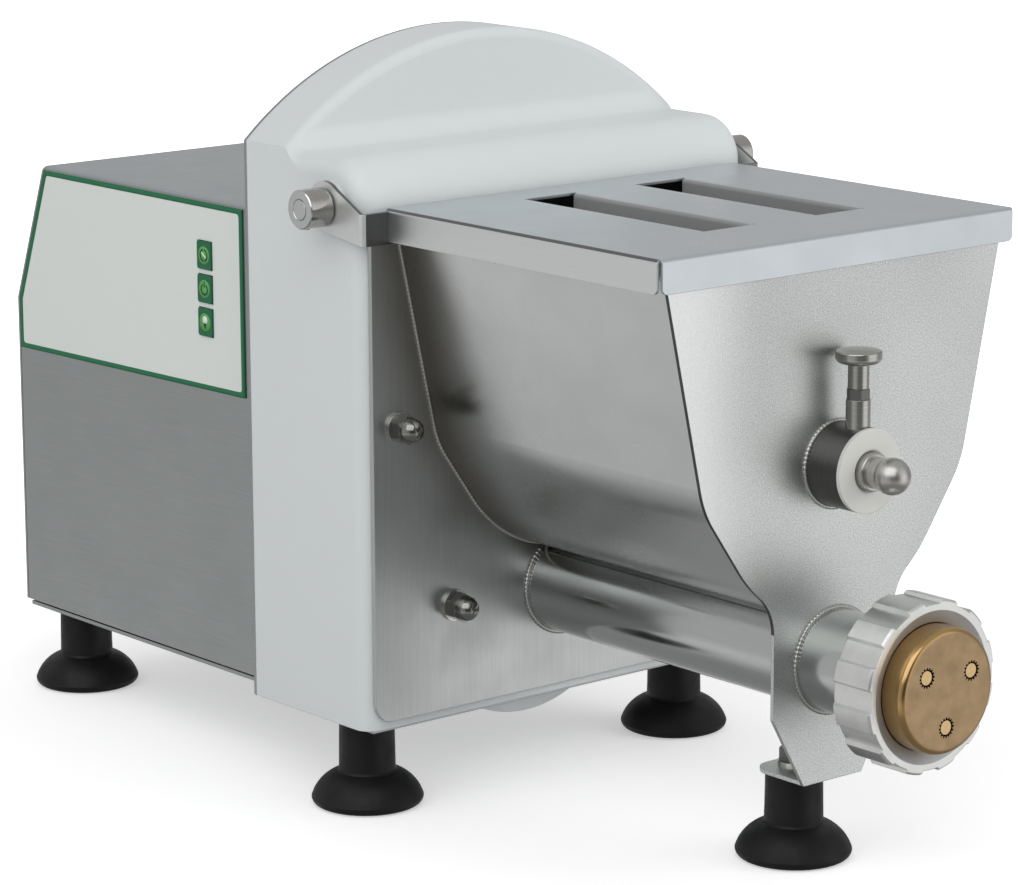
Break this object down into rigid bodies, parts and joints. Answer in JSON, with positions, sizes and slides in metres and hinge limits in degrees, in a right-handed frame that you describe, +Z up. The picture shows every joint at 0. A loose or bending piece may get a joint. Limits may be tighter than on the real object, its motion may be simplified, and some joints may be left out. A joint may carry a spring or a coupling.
{
  "type": "electric pasta maker",
  "caption": "Bench-top pasta extruder: trough hopper with slotted hinged lid, barrel with ring nut and die, arched gear cover, box motor housing and rubber feet.",
  "frame": {"origin": "on the floor, under the middle of the machine's box", "axes": "+Z up, +Y from the die towards the motor housing, +X away from the key panel"},
  "size_m": [0.2906, 0.6204, 0.3805],
  "materials": {
    "bead_blasted_steel": "bright fine bead-blasted stainless sheet",
    "satin_steel": "satin brushed stainless sheet",
    "smooth_steel": "smooth lightly brushed stainless sheet",
    "polished_steel": "polished stainless turned parts and hardware",
    "plain_steel": "machined steel inside the drive",
    "cast_aluminium": "cast and turned aluminium, satin",
    "case_aluminium": "light grey cast gear case",
    "bronze": "dull turned bronze",
    "cover_white": "light grey-white semi-gloss paint",
    "white_plastic": "white acetal, satin",
    "label_film": "pale control film with a green border",
    "key_green": "green push-button with a pale symbol disc",
    "black_rubber": "matte black rubber",
    "black_plastic": "matte black plastic",
    "board_green": "printed circuit board",
    "motor_paint": "dark grey motor paint",
    "copper": "varnished copper windings",
    "brass_grub": "small brass-tipped screws"
  },
  "bodies": {
    "machine": {"acorn_nuts": "polished_steel", "ball_bearings": "polished_steel", "base_plate": "satin_steel", "board_spacers": "white_plastic", "cable_gland": "black_plastic", "control_board": "board_green", "control_label": "label_film", "cover_back_plate": "satin_steel", "die_body": "bronze", "die_cores": "bronze", "extrusion_barrel": "smooth_steel", "foot_nuts": "polished_steel", "foot_studs": "plain_steel", "front_plate": "bead_blasted_steel", "gear_case": "case_aluminium", "gear_case_lid": "case_aluminium", "gear_cover": "cover_white", "grub_screws": "brass_grub", "hinge_collars": "polished_steel", "hinge_pins": "polished_steel", "hub_bush": "white_plastic", "inner_frame": "plain_steel", "key_switches": "black_plastic", "motor_bells": "cast_aluminium", "motor_frame": "motor_paint", "motor_housing": "satin_steel", "mounting_plate": "satin_steel", "plate_studs": "plain_steel", "plunger_body": "polished_steel", "rear_panel": "satin_steel", "rear_screws": "polished_steel", "rubber_feet": "black_rubber", "shaft_hub": "polished_steel", "shaft_seals": "black_rubber", "stage_case": "case_aluminium", "stator_core": "plain_steel", "stator_windings": "copper", "tub": "smooth_steel", "washers": "polished_steel"},
    "lid": {"lid_cover": "smooth_steel", "lid_bracket": "satin_steel"},
    "ring_nut": {"ring_nut": "cast_aluminium"},
    "locking_pin": {"locking_pin": "polished_steel"},
    "plunger": {"plunger_knob": "polished_steel", "plunger_spring": "plain_steel"},
    "auger": {"auger": "polished_steel", "auger_drive_shaft": "plain_steel", "auger_gear": "plain_steel"},
    "mixer": {"mixing_shaft": "smooth_steel", "mixing_paddles": "smooth_steel", "mixer_drive_shaft": "plain_steel", "mixer_gear": "plain_steel"},
    "layshaft": {"layshaft": "plain_steel", "lay_gear": "plain_steel"},
    "motor": {"motor_shaft": "plain_steel", "rotor_core": "plain_steel"},
    "stop_button": {"stop_button": "key_green"},
    "start_button": {"start_button": "key_green"},
    "light_button": {"light_button": "key_green"}
  },
  "joints": [
    {"name": "lid_swing", "type": "hinge", "parent": "machine", "child": "lid", "pos_m": [0, -0.0133, 0.3068], "axis": [-1, 0, 0], "range_deg": [0, 105]},
    {"name": "ring_nut_turn", "type": "hinge", "parent": "machine", "child": "ring_nut", "pos_m": [0, -0.2878, 0.103], "axis": [0, 1, 0], "continuous": true},
    {"name": "locking_pin_pull", "type": "slide", "parent": "machine", "child": "locking_pin", "axis": [0, -1, 0], "range_m": [0, 0.011]},
    {"name": "plunger_lift", "type": "slide", "parent": "machine", "child": "plunger", "axis": [0, 0, 1], "range_m": [0, 0.0035], "stiffness_N_per_m": 900, "springref_m": -0.003, "deforming": ["plunger_spring"]},
    {"name": "auger_turn", "type": "hinge", "parent": "machine", "child": "auger", "pos_m": [0, -0.2353, 0.103], "axis": [0, 1, 0], "continuous": true},
    {"name": "mixer_turn", "type": "hinge", "parent": "machine", "child": "mixer", "pos_m": [0, -0.2353, 0.198], "axis": [0, 1, 0], "continuous": true},
    {"name": "layshaft_turn", "type": "hinge", "parent": "machine", "child": "layshaft", "pos_m": [-0.055, 0.0117, 0.15831], "axis": [0, 1, 0], "continuous": true},
    {"name": "motor_turn", "type": "hinge", "parent": "machine", "child": "motor", "pos_m": [0.00999, 0.0347, 0.18431], "axis": [0, 1, 0], "continuous": true},
    {"name": "stop_press", "type": "slide", "parent": "machine", "child": "stop_button", "axis": [1, 0, 0], "range_m": [0, 0.0006], "stiffness_N_per_m": 1500, "springref_m": -0.0008},
    {"name": "start_press", "type": "slide", "parent": "machine", "child": "start_button", "axis": [1, 0, 0], "range_m": [0, 0.0006], "stiffness_N_per_m": 1500, "springref_m": -0.0008},
    {"name": "light_press", "type": "slide", "parent": "machine", "child": "light_button", "axis": [1, 0, 0], "range_m": [0, 0.0006], "stiffness_N_per_m": 1500, "springref_m": -0.0008}
  ],
  "couplings": [
    {"joint": "mixer_turn", "follows": "auger_turn", "ratio": -2.0645},
    {"joint": "layshaft_turn", "follows": "auger_turn", "ratio": -4.5714},
    {"joint": "motor_turn", "follows": "auger_turn", "ratio": 18.286}
  ]
}
